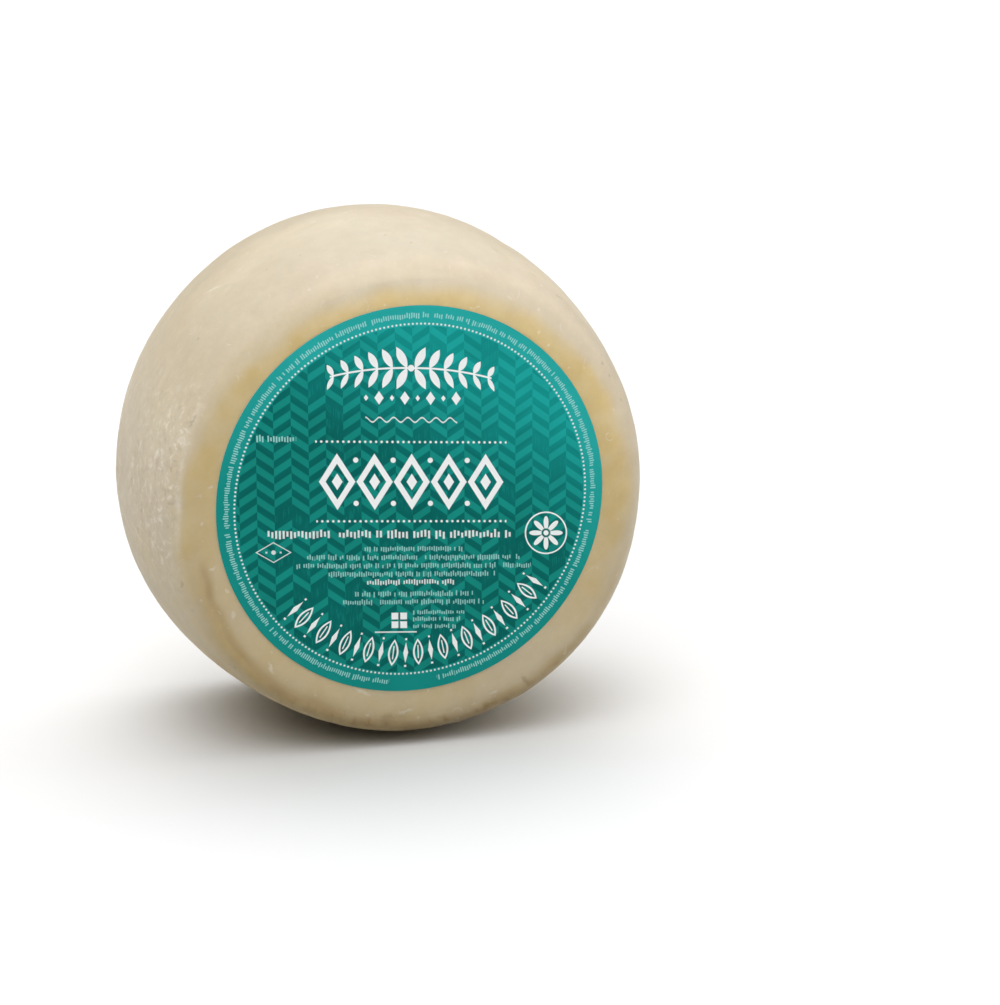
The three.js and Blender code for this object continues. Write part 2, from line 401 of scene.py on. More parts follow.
def build_wheel():
    verts = Q.reshape(-1, 3)
    faces = grid_faces(ROWS, AROUND)
    front = Q[:, 0].mean(0)
    back = Q[:, -1].mean(0)
    n = len(verts)
    verts = np.concatenate([verts, [front, back]])
    i = np.arange(AROUND)
    i2 = (i + 1) % AROUND
    tri_front = np.stack([i * ROWS, i2 * ROWS, 0 * i + n], -1)
    tri_back = np.stack([i * ROWS + ROWS - 1, 0 * i + n + 1, i2 * ROWS + ROWS - 1], -1)
    all_faces = [tuple(f) for f in faces] + [tuple(f) for f in tri_front] + [tuple(f) for f in tri_back]
    ob = make_mesh("cheese_wheel_body", [tuple(v) for v in verts], all_faces)
    me = ob.data
    # faces must look outward
    me.calc_loop_triangles()
    vol = 0.0
    co = verts
    t = np.array([lt.vertices[:] for lt in me.loop_triangles])
    vol = (co[t[:, 0]] * np.cross(co[t[:, 1]], co[t[:, 2]])).sum() / 6
    if vol < 0:
        me.flip_normals()
    for name, values in (("gold", GOLD), ("brown_and_painted_shade", BROWN_AND_PAINTED_SHADE), ("chalk", CHALK), ("pale", PALE), ("painted_light_and_tone", PAINTED_LIGHT_AND_TONE)):
        layer = me.attributes.new(name, "FLOAT", "POINT")
        flat = np.concatenate([values.reshape(-1), [values[:, 0].mean(), values[:, -1].mean()]])
        layer.data.foreach_set("value", flat.astype(np.float32))
    return ob


wheel = build_wheel()


# ---------------------------------------------------------------------------
# Node writing: numbers in a material's node tree that add and multiply.
# ---------------------------------------------------------------------------
class Num:
    def __init__(self, tree, socket):
        self.tree, self.socket = tree, socket

    def _op(self, kind, *others, clamp=False):
        n = self.tree.nodes.new("ShaderNodeMath")
        n.operation = kind
        n.use_clamp = clamp
        for k, v in enumerate((self, *others)):
            if isinstance(v, Num):
                self.tree.links.new(v.socket, n.inputs[k])
            else:
                n.inputs[k].default_value = float(v)
        return Num(self.tree, n.outputs[0])

    def _lift(self, v):
        if isinstance(v, Num):
            return v
        n = self.tree.nodes.new("ShaderNodeValue")
        n.outputs[0].default_value = float(v)
        return Num(self.tree, n.outputs[0])

    def __add__(self, o): return self._op("ADD", o)
    def __radd__(self, o): return self._op("ADD", o)
    def __sub__(self, o): return self._op("SUBTRACT", o)
    def __rsub__(self, o): return self._lift(o)._op("SUBTRACT", self)
    def __mul__(self, o): return self._op("MULTIPLY", o)
    def __rmul__(self, o): return self._op("MULTIPLY", o)
    def __truediv__(self, o): return self._op("DIVIDE", o)
    def __neg__(self): return self._op("MULTIPLY", -1.0)
    def abs(self): return self._op("ABSOLUTE")
    def floor(self): return self._op("FLOOR")
    def fract(self): return self._op("FRACT")
    def mod(self, m): return self._op("FLOORED_MODULO", m)
    def min(self, o): return self._op("MINIMUM", o)
    def max(self, o): return self._op("MAXIMUM", o)
    def sin(self): return self._op("SINE")
    def cos(self): return self._op("COSINE")
    def sqrt(self): return self._op("SQRT")
    def atan2(self, o): return self._op("ARCTAN2", o)
    def clamp(self): return self._op("ADD", 0.0, clamp=True)

    def ramp(self, a, b, lo=0.0, hi=1.0):
        """lo below a, hi above b, straight between, or falling where b < a."""
        n = self.tree.nodes.new("ShaderNodeMapRange")
        n.clamp = True
        if a <= b:
            lows, highs, to = a, b, (lo, hi)
        else:
            lows, highs, to = b, a, (hi, lo)
        self.tree.links.new(self.socket, n.inputs["Value"])
        n.inputs["From Min"].default_value = lows
        n.inputs["From Max"].default_value = highs
        n.inputs["To Min"].default_value = to[0]
        n.inputs["To Max"].default_value = to[1]
        return Num(self.tree, n.outputs["Result"])

    def inside(self, soft=0.35):
        """1 where this distance is under nought, with an edge as soft as given."""
        return self.ramp(soft / 2, -soft / 2)


class Tree:
    def __init__(self, name):
        self.mat = bpy.data.materials.new(name)
        self.mat.use_nodes = True
        self.t = self.mat.node_tree
        self.t.nodes.clear()
        self.out = self.t.nodes.new("ShaderNodeOutputMaterial")
        self.bsdf = self.t.nodes.new("ShaderNodeBsdfPrincipled")
        self.t.links.new(self.bsdf.outputs[0], self.out.inputs["Surface"])
        self.coords = self.t.nodes.new("ShaderNodeTexCoord")

    def num(self, v):
        n = self.t.nodes.new("ShaderNodeValue")
        n.outputs[0].default_value = v
        return Num(self.t, n.outputs[0])

    def object_xyz(self):
        n = self.t.nodes.new("ShaderNodeSeparateXYZ")
        self.t.links.new(self.coords.outputs["Object"], n.inputs[0])
        return [Num(self.t, n.outputs[k]) for k in range(3)]

    def vector(self, x, y, z):
        n = self.t.nodes.new("ShaderNodeCombineXYZ")
        for k, v in enumerate((x, y, z)):
            if isinstance(v, Num):
                self.t.links.new(v.socket, n.inputs[k])
            else:
                n.inputs[k].default_value = float(v)
        return n.outputs[0]

    def noise(self, scale, detail=2.0, rough=0.5, vector=None, distortion=0.0, seed=0.0, colour=False):
        vector = vector or self.coords.outputs["Object"]
        if seed:
            moved = self.t.nodes.new("ShaderNodeVectorMath")
            moved.operation = "ADD"
            moved.inputs[1].default_value = (0.37 * seed, 0.71 * seed, -0.53 * seed)
            self.t.links.new(vector, moved.inputs[0])
            vector = moved.outputs[0]
        n = self.t.nodes.new("ShaderNodeTexNoise")
        n.inputs["Scale"].default_value = scale
        n.inputs["Detail"].default_value = detail
        n.inputs["Roughness"].default_value = rough
        n.inputs["Distortion"].default_value = distortion
        self.t.links.new(vector, n.inputs["Vector"])
        return n.outputs["Color"] if colour else Num(self.t, n.outputs[0])

    def cells(self, scale, vector=None, feature="F1", randomness=1.0):
        n = self.t.nodes.new("ShaderNodeTexVoronoi")
        n.feature = feature
        n.inputs["Scale"].default_value = scale
        n.inputs["Randomness"].default_value = randomness
        self.t.links.new(vector or self.coords.outputs["Object"], n.inputs["Vector"])
        return n

    def chance(self, x, y=0.0, z=0.0):
        """A fixed random number in 0..1 for each whole x, y, z."""
        n = self.t.nodes.new("ShaderNodeTexWhiteNoise")
        n.noise_dimensions = "1D"
        w = x
        for part, step in ((y, 57.31), (z, 913.7)):
            if isinstance(part, Num) or part:
                w = w + part * step
        self.t.links.new(w.socket, n.inputs["W"])
        return Num(self.t, n.outputs["Value"])

    def attribute(self, name):
        n = self.t.nodes.new("ShaderNodeAttribute")
        n.attribute_type = "GEOMETRY"
        n.attribute_name = name
        return Num(self.t, n.outputs["Fac"])

    def mix(self, amount, a, b, blend="MIX"):
        """Colour a turning into colour b. Colours are sockets or (r, g, b)."""
        n = self.t.nodes.new("ShaderNodeMix")
        n.data_type = "RGBA"
        n.blend_type = blend
        if isinstance(amount, Num):
            self.t.links.new(amount.socket, n.inputs[0])
        else:
            n.inputs[0].default_value = amount
        for k, v in ((6, a), (7, b)):
            if isinstance(v, tuple):
                n.inputs[k].default_value = (*v, 1.0)
            else:
                self.t.links.new(v, n.inputs[k])
        return n.outputs[2]

    def bump(self, height, distance, strength=1.0, onto=None):
        n = self.t.nodes.new("ShaderNodeBump")
        n.inputs["Distance"].default_value = distance
        n.inputs["Strength"].default_value = strength
        self.t.links.new(height.socket, n.inputs["Height"])
        if onto is not None:
            self.t.links.new(onto, n.inputs["Normal"])
        return n.outputs[0]

    def set(self, name, v):
        if isinstance(v, Num):
            self.t.links.new(v.socket, self.bsdf.inputs[name])
        elif isinstance(v, bpy.types.NodeSocket):
            self.t.links.new(v, self.bsdf.inputs[name])
        else:
            self.bsdf.inputs[name].default_value = v


# ---------------------------------------------------------------------------
# The rind.
# ---------------------------------------------------------------------------
# Small marks on the rind: x, y, z in mm from the wheel's middle, length, width, and how far the length leans out of the wheel's round direction.
PALE_MARKS = [
    (-71.6, -47.6, 10.4, 0.8, 0.45, 60), (-75.0, -47.4, -2.9, 0.6, 0.4, 10), (-71.6, -47.4, -19.2, 1.2, 0.45, 75),
    (-51.4, -47.3, -57.1, 2.2, 0.55, 35), (-66.5, -47.4, -27.5, 1.1, 0.5, -20), (-64.5, -47.4, -36.5, 1.5, 0.7, 30),
    (-18.5, -47.5, -69.0, 3.2, 0.55, 12), (-2.5, -47.0, -78.0, 2.6, 0.6, -14), (30.0, -47.3, -74.0, 1.8, 0.5, 8),
    (-59.6, -1.9, 69.8, 5.0, 0.7, 50), (-81.2, -43.5, 26.9, 1.6, 0.8, 0), (-87.0, -32.1, 19.7, 1.8, 1.0, 10),
]
DARK_MARKS = [
    (-82.2, -45.9, -24.3, 1.2, 0.45, 15), (-76.8, -45.3, 34.2, 2.6, 0.45, 4), (-84.4, -43.7, 16.8, 1.2, 0.5, -10),
    (-8.9, -46.8, -81.0, 2.8, 1.0, 8), (11.7, -42.6, -85.2, 2.2, 0.9, 0), (19.5, -44.0, -82.6, 1.8, 0.9, 20),
    (41.9, -47.2, -70.4, 0.9, 0.4, 0), (37.0, -24.9, 83.0, 1.8, 0.45, 25), (49.5, -31.9, 74.2, 3.0, 0.5, 6),
    (57.2, -36.3, 67.0, 1.6, 0.8, -20), (59.5, -32.0, 65.2, 1.2, 0.5, 35), (-91.6, -16.6, -12.1, 1.4, 0.8, 0),
    (3.0, -44.6, -84.0, 1.6, 0.5, 10), (26.0, -44.8, -79.6, 1.8, 0.5, -8), (-24.5, -46.4, -77.6, 1.5, 0.4, 12),
]


def rind_material():
    m = Tree("rind")
    gold, brown_and_painted_shade, chalk, pale, painted_light_and_tone = (m.attribute(n) for n in ("gold", "brown_and_painted_shade", "chalk", "pale", "painted_light_and_tone"))
    broad = m.noise(26, 2, 0.5, seed=1)
    mid = m.noise(115, 3, 0.6, seed=2)
    fine = m.noise(560, 2, 0.6, seed=3)
    # crumbs and soft patches a few mm across
    crumb = m.noise(330, 3, 0.62, distortion=0.6, seed=6)
    lay = m.noise(230, 2, 0.55, distortion=0.5, seed=7)

    cream = m.mix(broad.ramp(0.38, 0.62), CREAM_WARM, CREAM_COOL)
    cream = m.mix(lay.ramp(0.42, 0.70, 0, 0.4), cream, CREAM_PINK)
    cream = m.mix(mid.ramp(0.45, 0.72, 0, 0.45), cream, CREAM_PALE)
    golden = m.mix(mid.ramp(0.35, 0.65), GOLDEN, GOLDEN_PALE)
    col = m.mix(gold, cream, golden)
    # the brown band: partly the crease's own colour, partly painted shade
    col = m.mix(brown_and_painted_shade, col, BROWNISH_AND_SHADE)
    # light crumbs where it is chalky, and painted shade in the hollows between them
    flake = crumb.ramp(0.54, 0.66) * fine.ramp(0.36, 0.58, 0.45, 1.0)
    col = m.mix((chalk * (flake * 0.95 + 0.04)).clamp(), col, CHALKY)
    hollow_shade = crumb.ramp(0.44, 0.32) * chalk
    col = m.mix(hollow_shade * 0.65, col, HOLLOW_SHADE_COLOUR)
    col = m.mix(pale * fine.ramp(0.3, 0.6, 0.35, 0.75), col, CHALKY)

    # the marks have ragged outlines
    ragged = m.noise(750, 1, 0.5, seed=11, colour=True)
    shaken = m.t.nodes.new("ShaderNodeVectorMath")
    shaken.operation = "MULTIPLY_ADD"
    shaken.inputs[1].default_value = (1.6 * MM,) * 3
    m.t.links.new(ragged, shaken.inputs[0])
    m.t.links.new(m.coords.outputs["Object"], shaken.inputs[2])

    def marks(places):
        out = None
        for fx, fy, fz, long, wide, lean in places:
            a = math.atan2(fz, fx)
            tangent = Vector((-math.sin(a), 0.0, math.cos(a)))
            radial = Vector((math.cos(a), 0.0, math.sin(a)))
            on_face = math.hypot(fx, fz) < 80.0
            normal = Vector((0.0, -1.0, 0.0)) if on_face else radial
            side = radial if on_face else Vector((0.0, 1.0, 0.0))
            k = math.radians(lean)
            ex = tangent * math.cos(k) + side * math.sin(k)
            ey = normal.cross(ex)
            turned = Matrix((ex, ey, normal)).transposed()
            n = m.t.nodes.new("ShaderNodeMapping")
            n.vector_type = "TEXTURE"
            n.inputs["Location"].default_value = (CX + (fx + 0.8) * MM, CY + (fy + 0.8) * MM, CZ + (fz + 0.8) * MM)
            n.inputs["Rotation"].default_value = turned.to_euler()
            n.inputs["Scale"].default_value = (long * MM, wide * MM, 2.5 * MM)
            m.t.links.new(shaken.outputs[0], n.inputs["Vector"])
            d = m.t.nodes.new("ShaderNodeVectorMath")
            d.operation = "LENGTH"
            m.t.links.new(n.outputs[0], d.inputs[0])
            spot = Num(m.t, d.outputs["Value"]).ramp(1.35, 0.5)
            out = spot if out is None else out.max(spot)
        return out

    col = m.mix(marks(PALE_MARKS) * 0.55, col, CHALKY)
    col = m.mix(marks(DARK_MARKS) * 0.34, col, FLECK_BROWN)
    # scattered small flecks all over, few and faint, and fine curved scratches
    grain = m.cells(270, vector=shaken.outputs[0])
    dot = Num(m.t, grain.outputs["Distance"]).ramp(0.22, 0.08)
    pick = m.t.nodes.new("ShaderNodeSeparateColor")
    m.t.links.new(grain.outputs["Color"], pick.inputs[0])
    red, green = Num(m.t, pick.outputs[0]), Num(m.t, pick.outputs[1])
    col = m.mix(dot * red.ramp(0.91, 0.94, 0.0, 0.45), col, CHALKY)
    col = m.mix(dot * green.ramp(0.93, 0.97, 0.0, 0.32), col, FLECK_BROWN)
    scratch = (m.noise(95, 1, 0.5, seed=12) - 0.5).abs().ramp(0.014, 0.004) * lay.ramp(0.60, 0.66)
    col = m.mix(scratch * 0.30, col, CHALKY)
    # fine brightness variation
    shade = broad.ramp(0.3, 0.7, 0.98, 1.02) * mid.ramp(0.3, 0.7, 0.984, 1.014) * crumb.ramp(0.3, 0.7, 0.986, 1.012) * fine.ramp(0.3, 0.7, 0.988, 1.012)
    painted_light_and_tone = painted_light_and_tone * shade
    # the painted light and shade, with the rind's fine random tone, multiply its colour
    col = m.mix(1.0, col, m.vector(painted_light_and_tone, painted_light_and_tone, painted_light_and_tone), "MULTIPLY")
    m.set("Base Color", col)
    m.set("Roughness", fine.ramp(0.3, 0.7, -0.05, 0.07) + broad.ramp(0.3, 0.7, 0.46, 0.56) - gold * 0.05 + chalk * 0.12)
    m.set("Specular IOR Level", 0.35)
    m.bsdf.subsurface_method = "BURLEY"
    m.set("Subsurface Weight", 0.22)
    m.set("Subsurface Radius", (1.0, 0.6, 0.3))
    m.set("Subsurface Scale", 0.0028)
    height = mid * 0.55 + crumb * (chalk * 1.6 + 0.28) + fine * 0.20 - scratch * 0.25
    m.set("Normal", m.bump(height, 0.00034, 0.6))
    return m.mat


CREAM_WARM, CREAM_COOL = (0.595, 0.515, 0.386), (0.582, 0.521, 0.399)
CREAM_PINK, CREAM_PALE = (0.600, 0.507, 0.402), (0.611, 0.537, 0.427)
# the last colour on the next line is for the brown crease and for painted shade in the crease and on the bottom
# shoulder
GOLDEN, GOLDEN_PALE, BROWNISH_AND_SHADE = (0.577, 0.427, 0.186), (0.591, 0.455, 0.218), (0.392, 0.262, 0.112)
# the second colour on the next line is painted shade in the chalky hollows
CHALKY, HOLLOW_SHADE_COLOUR, FLECK_BROWN = (0.727, 0.668, 0.555), (0.473, 0.395, 0.291), (0.273, 0.182, 0.091)
wheel.data.materials.append(rind_material())


# ---------------------------------------------------------------------------
# The paper label: a thin disc that lies on the front face. Its print is laid
# out in units of which the label's radius is 193.04, u to the right, v down.
# ---------------------------------------------------------------------------
UNITS = 193.04
PAPER = 0.22 * MM


def build_label():
    rings = np.concatenate([np.linspace(0.04, 0.94, 46), [0.96, 0.975, 0.9875, 0.995, 1.0]])
    cols = 256
    a = np.arange(cols) / cols * 2 * math.pi
    rr = rings * LABEL_R / MM
    x = rr[None] * np.cos(a)[:, None]
    z = rr[None] * np.sin(a)[:, None]
    lift = face_relief(x, z, False)
    # the paper rests on the face; its edge stands off it a little here and there
    deg = np.degrees(a)[:, None]
    edge = smooth(0.955, 1.0, rings)[None]
    curl = 0.05 + 0.22 * bell(turn_between(deg, 222), 0, 26) + 0.12 * bell(turn_between(deg, 20), 0, 22) + 0.1 * bell(turn_between(deg, 118), 0, 18)
    lift = lift + edge * curl
    back_y = -HALF - lift - 0.05
    front_y = back_y - PAPER / MM
    def place(y, xx, zz):
        return np.stack([xx * MM + CX, y * MM + CY, zz * MM + CZ], -1)
    front = place(front_y, x, z)
    back = place(back_y, x, z)
    n = len(rings)
    verts = np.concatenate([front.reshape(-1, 3), back.reshape(-1, 3), [front[:, 0].mean(0), back[:, 0].mean(0)]])
    faces = []
    f = grid_faces(n, cols)
    faces += [tuple(q) for q in f]
    faces += [tuple(q[::-1] + cols * n) for q in f]
    for i in range(cols):
        j = (i + 1) % cols
        faces.append((i * n + n - 1, cols * n + i * n + n - 1, cols * n + j * n + n - 1, j * n + n - 1))
        faces.append((i * n, j * n, 2 * cols * n))
        faces.append((cols * n + j * n, cols * n + i * n, 2 * cols * n + 1))
    ob = make_mesh("paper_label", [tuple(v) for v in verts], faces)
    me = ob.data
    me.calc_loop_triangles()
    t = np.array([lt.vertices[:] for lt in me.loop_triangles])
    if (verts[t[:, 0]] * np.cross(verts[t[:, 1]], verts[t[:, 2]])).sum() < 0:
        me.flip_normals()
    me.set_sharp_from_angle(angle=math.radians(40))
    # map for the print: the printed side large, the glued side and the cut edge small in two corners
    vi = np.array([loop.vertex_index for loop in me.loops])
    px, pz = (verts[vi, 0] - CX) / LABEL_R, (verts[vi, 2] - CZ) / LABEL_R
    kind = np.zeros(len(me.loops), int)
    for p in me.polygons:
        on_front = [v < cols * n or v == 2 * cols * n for v in p.vertices]
        kind[p.loop_start:p.loop_start + p.loop_total] = 0 if all(on_front) else (2 if any(on_front) else 1)
    is_front = (vi < cols * n) | (vi == 2 * cols * n)
    far = np.where(kind == 2, np.where(is_front, 0.070, 0.045), np.where(kind == 1, 0.075, 0.485))
    mid_u = np.where(kind == 2, 0.92, np.where(kind == 1, 0.08, 0.5))
    mid_v = np.where(kind == 0, 0.5, 0.08)
    mirror = np.where(kind == 1, -1.0, 1.0)
    uv = me.uv_layers.new(name="OFBake")
    uv.data.foreach_set("uv", np.stack([mid_u + mirror * px * far, mid_v + pz * far], -1).astype(np.float32).ravel())
    return ob


label = build_label()


def print_material():
    m = Tree("label_print")
    x, y, z = m.object_xyz()
    k = UNITS / LABEL_R
    # on the label itself: distance from its middle, and the angle from the right, clockwise as seen
    u = (x - CX) * k
    down = (CZ - z) * k
    r = (u * u + down * down).sqrt()
    turn = down.atan2(u) * (180 / math.pi)
    # the middle of the print sits a little askew: its rows fall to the right
    v = down * 0.997 - u * 0.0784

    # herringbone: columns of slanted stripes, light and dark
    W, PER, SL = 17.14, 15.41, 0.676
    col = ((u - 104.12) / W).floor()
    fx = (u - 104.12) - col * W
    odd = col.mod(2.0)
    vv = v + fx * SL * (1.0 - odd * 2.0) + odd * 4.27
    cell = (vv + 4.44) / PER
    f = cell.fract()
    light = ((f - 0.5).abs() - 0.2535).inside(0.07)
    # in some stripes the ink is thin and streaky
    worn = m.chance(col, cell.floor(), 3.0).ramp(0.86, 0.88)
    streaks = m.noise(1.0, 2, 0.5, vector=m.vector(u * 0.9, v * 0.06, 0.0), seed=5).ramp(0.5, 0.62)
    light = light * (1.0 - worn * (1.0 - streaks * 0.45)) + (1.0 - light) * worn * streaks * 0.12
    # painted light: the print is painted a deep teal low on the left and a lighter teal high on the right, as if lit
    # from the upper right
    painted_light_ramp = ((u * 0.51 - v - 16.0) / 143.0).ramp(0.0, 1.0)._op("POWER", 1.45)
    painted_light_ramp_ring = ((u * 0.27 - v + 40.0) / 160.0).ramp(0.0, 1.0)
    # each stripe is inked a little differently
    inked = m.chance(col, cell.floor(), 8.0).ramp(0.0, 1.0, 0.94, 1.06)
    dark_ink = m.mix(painted_light_ramp, DARK_INK_SHADED, DARK_INK_LIT)
    light_ink = m.mix(painted_light_ramp, LIGHT_INK_SHADED, LIGHT_INK_LIT)
    colour = m.mix(light, dark_ink, light_ink)
    colour = m.mix(1.0, colour, m.vector(inked, inked, inked), "MULTIPLY")
    # the ring's ink is painted lighter high on the right in the same way
    ring_ink = m.mix(painted_light_ramp_ring, RING_INK_SHADED, RING_INK_LIT)
    ring = (173.2 - r).inside(0.5)
    colour = m.mix(ring, colour, ring_ink)

    white, small = None, None

    def add(mask, strength=1.0, little=False):
        """Print in white, or in the paler ink of the small marks."""
        nonlocal white, small
        if strength != 1.0:
            mask = mask * strength
        if little:
            small = mask if small is None else small.max(mask)
        else:
            white = mask if white is None else white.max(mask)

    def box(u0, u1, v0, v1, soft=0.4):
        du = (u - (u0 + u1) / 2).abs() - (u1 - u0) / 2
        dv = (v - (v0 + v1) / 2).abs() - (v1 - v0) / 2
        return du.max(dv).inside(soft)

    # dotted circle
    pitch = 360.0 / 272
    along = ((turn / pitch).fract() - 0.5) * (pitch * math.pi / 180 * 175)
    add(((along * along + (r - 175.2) * (r - 175.2)).sqrt() - 0.95).inside(0.7), 0.85)
    # dotted rules above and below the row of diamonds
    for v0 in (-58.6, 20.4):
        du = ((u / 5.4).fract() - 0.5) * 5.4
        dot = (((du * du) + (v - v0) * (v - v0)).sqrt() - 1.15).inside(0.7)
        add(dot * (u.abs() - 95.0).inside(0.5))
    # five tall diamonds, each with a small solid one inside, and dots between
    pitch, n = 37.0, 5
    t = (u / pitch + 0.5).floor()
    in_row = (u.abs() - pitch * n / 2).inside(0.4)
    du = (u - t * pitch).abs()
    dv = (v + 19.0).abs()
    d = du / 17.6 + dv / 27.5
    outline = ((d - 0.835).abs() - 0.185).inside(0.03)
    heart = (d - 0.30).inside(0.03)
    add(outline.max(heart) * in_row)
    gap = ((u / pitch).fract() - 0.5) * pitch
    dot = ((gap * gap + (dv - 21.5) * (dv - 21.5)).sqrt() - 2.6).inside(0.5)
    add(dot * (u.abs() - pitch * 2).inside(0.4))

    # a leafy sprig above: a bent stem with leaves in pairs, growing from the middle to both sides
    su = u.abs()
    bend = v + 131.5 - (su * su) * 0.0017 + su * 0.02
    stem = (bend.abs() - 0.9).max(su - 80.0).inside(0.4)
    add(stem)
    lp = 14.5
    which = (su / lp).floor()
    lu = su - (which + 0.26) * lp
    size = which.ramp(0.0, 5.0, 1.12, 0.66)
    for side in (-1.0, 1.0):
        # a leaf's axis leans outward from its foot on the stem
        c, sn = math.cos(math.radians(62)), math.sin(math.radians(62))
        a1 = (lu * c + bend * (side * sn)) / size
        b1 = (bend * (side * c) - lu * sn) / size
        g = (a1 - 10.5) / 10.5
        add((b1.abs() - (1.0 - g * g) * 3.7).inside(0.35) * (su - 84.0).inside(0.4))
    # small knot in the middle of the sprig
    add(((u * u + (v + 131.5) * (v + 131.5)).sqrt() - 3.2).inside(0.4))

    # row of small lozenges under the sprig, then a thin wave
    pitch = 12.75
    du = ((u / pitch).fract() - 0.5).abs() * pitch
    big = (u / pitch).floor().mod(2.0)
    d = du / (2.2 + big * 2.4) + (v + 102.0).abs() / (3.0 + big * 3.6)
    add((d - 1.0).inside(0.12) * (u.abs() - 51.0).inside(0.4))
    wave = (u * (2 * math.pi / 14.0)).sin() * 2.3
    add(((v + 80.5 - wave).abs() - 0.75).max(u.abs() - 45.5).inside(0.5), 0.8)

    # rows of fine upright ticks of uneven height
    def ticks(v0, height, u0, u1, seed, pitch=2.3, fill=0.84, strength=0.68, little=True):
        slot = ((u - u0) / pitch).floor()
        on = m.chance(slot, float(seed), 1.0).ramp(fill + 0.005, fill - 0.005)
        within = (((u - u0) / pitch).fract() - 0.5).abs() * pitch - pitch * 0.27
        tall = m.chance(slot, float(seed), 7.0).ramp(0.0, 1.0, height * 0.26, height * 0.5)
        shift = m.chance(slot, float(seed), 5.0).ramp(0.0, 1.0, -height * 0.14, height * 0.14)
        add(within.max((v - v0 - shift).abs() - tall).inside(0.5) * on * box(u0, u1, v0 - height, v0 + height), strength, little)

    ticks(-61.0, 6.4, -153, -113, 1, 2.7, 0.86, 0.75)
    ticks(33.5, 8.4, -144, 100, 2, 3.7, 0.88, 0.82, False)
    ticks(48.2, 5.6, -48, 51, 3)
    ticks(56.8, 5.6, -105, 109, 4)
    ticks(65.2, 5.6, -118, 120, 5)
    ticks(73.6, 5.6, -84, 87, 6)
    ticks(81.8, 5.8, -46, 48, 7, 2.6, 0.88, 0.80, False)
    ticks(93.6, 5.6, -58, 61, 8)
    ticks(101.8, 5.6, -70, 72, 9)
    ticks(112.4, 4.6, 0, 52, 10, 2.2, 0.84, 0.7)
    ticks(119.4, 4.6, 0, 48, 11, 2.2, 0.84, 0.7)
    ticks(126.8, 4.6, 0, 44, 12, 2.2, 0.84, 0.7)

    # little square of four tiles, with a rule under it
    tile = ((((u + 13.5).abs() - 4.4).abs() - 3.4).max(((v - 120.5).abs() - 4.4).abs() - 3.4)).inside(0.5)
    add(tile, 0.95)
    add(box(-38, 4, 131.6, 133.0), 0.8)

    # round badge on the right: a ring and eight petals
    bu, bv = u - 135.4, v - 32.4
    br = (bu * bu + bv * bv).sqrt()
    ba = bv.atan2(bu)
    add(((br - 20.9).abs() - 0.7).inside(0.5))
    petal = ((ba * 4.0).cos().abs() * 15.5 + 1.5)
    add((br - petal).max(4.6 - br).inside(0.8), 0.95)
    add((br - 2.6).inside(0.5))
    # lozenge outline on the left with a dot
    lu2, lv2 = (u + 137.6).abs(), (v - 51.4).abs()
    d = lu2 / 18.0 + lv2 / 10.5
    add(((d - 0.94).abs() - 0.05).inside(0.05), 0.75)
    add(((lu2 * lu2 + lv2 * lv2).sqrt() - 2.2).inside(0.5), 0.75)
    add(((lu2 - 7.0).abs() - 0.9).max(lv2 - 0.9).inside(0.5), 0.75)

    # garland along the bottom: tall open leaves with a midrib, a slim lozenge between each two
    step_deg = 4.7
    gt = turn - 88.0
    cell = (gt / step_deg + 0.5).floor()
    even = (cell.mod(2.0) - 0.5).ramp(-0.1, 0.1)
    dr = r - 153.5
    da = (gt - cell * step_deg) * (math.pi / 180 * 153.5)
    reach = 13.5
    g = dr / reach
    lens = da.abs() - (1.0 - g * g) * 5.2
    leaf = ((lens + 0.9).abs() - 0.9).inside(0.45).max((da.abs() - 0.55).max(dr.abs() - reach * 0.5).inside(0.45)) * (1.0 - even)
    lozenge = (da.abs() / 2.5 + dr.abs() / (reach * 0.78) - 1.0).inside(0.16)
    ends = (((dr.abs() - reach - 0.2).abs() * 1.0).max(da.abs()) - 1.0).inside(0.5)
    arc = (gt.abs() - step_deg * 11.5).inside(0.3)
    add(leaf.max(lozenge * even).max(ends * even) * arc, 0.95)

    # small dashes round the border
    slot_deg = 0.72
    slot = (turn / slot_deg).floor()
    on = m.chance(slot, 40.0, 1.0).ramp(0.885, 0.875)
    within = ((turn / slot_deg).fract() - 0.5).abs() * 2.0 - 0.54
    tall = m.chance(slot, 41.0, 7.0).ramp(0.0, 1.0, 1.5, 2.8)
    shift = m.chance(slot, 43.0, 5.0).ramp(0.0, 1.0, -0.7, 0.7)
    gap = ((turn - 90.0).abs() - 7.5).ramp(0.0, 0.4)
    add(within.inside(0.3) * ((r - 183.2 - shift).abs() - tall).inside(0.5) * on * gap, 0.68, True)

    grain = m.noise(2600, 2, 0.6, seed=9)
    cloud = m.noise(55, 2, 0.5, seed=10)
    ink = m.mix(small.clamp(), colour, PRINT_SMALL)
    ink = m.mix(white.clamp(), ink, PRINT_WHITE)
    # paper fibre and faint unevenness of the ink
    ink = m.mix(grain.ramp(0.35, 0.75, 0.0, 0.10), ink, (0.5, 0.62, 0.6), "SOFT_LIGHT")
    ink = m.mix(cloud.ramp(0.35, 0.7, 0.0, 0.10), ink, (1.0, 1.0, 1.0), "SOFT_LIGHT")
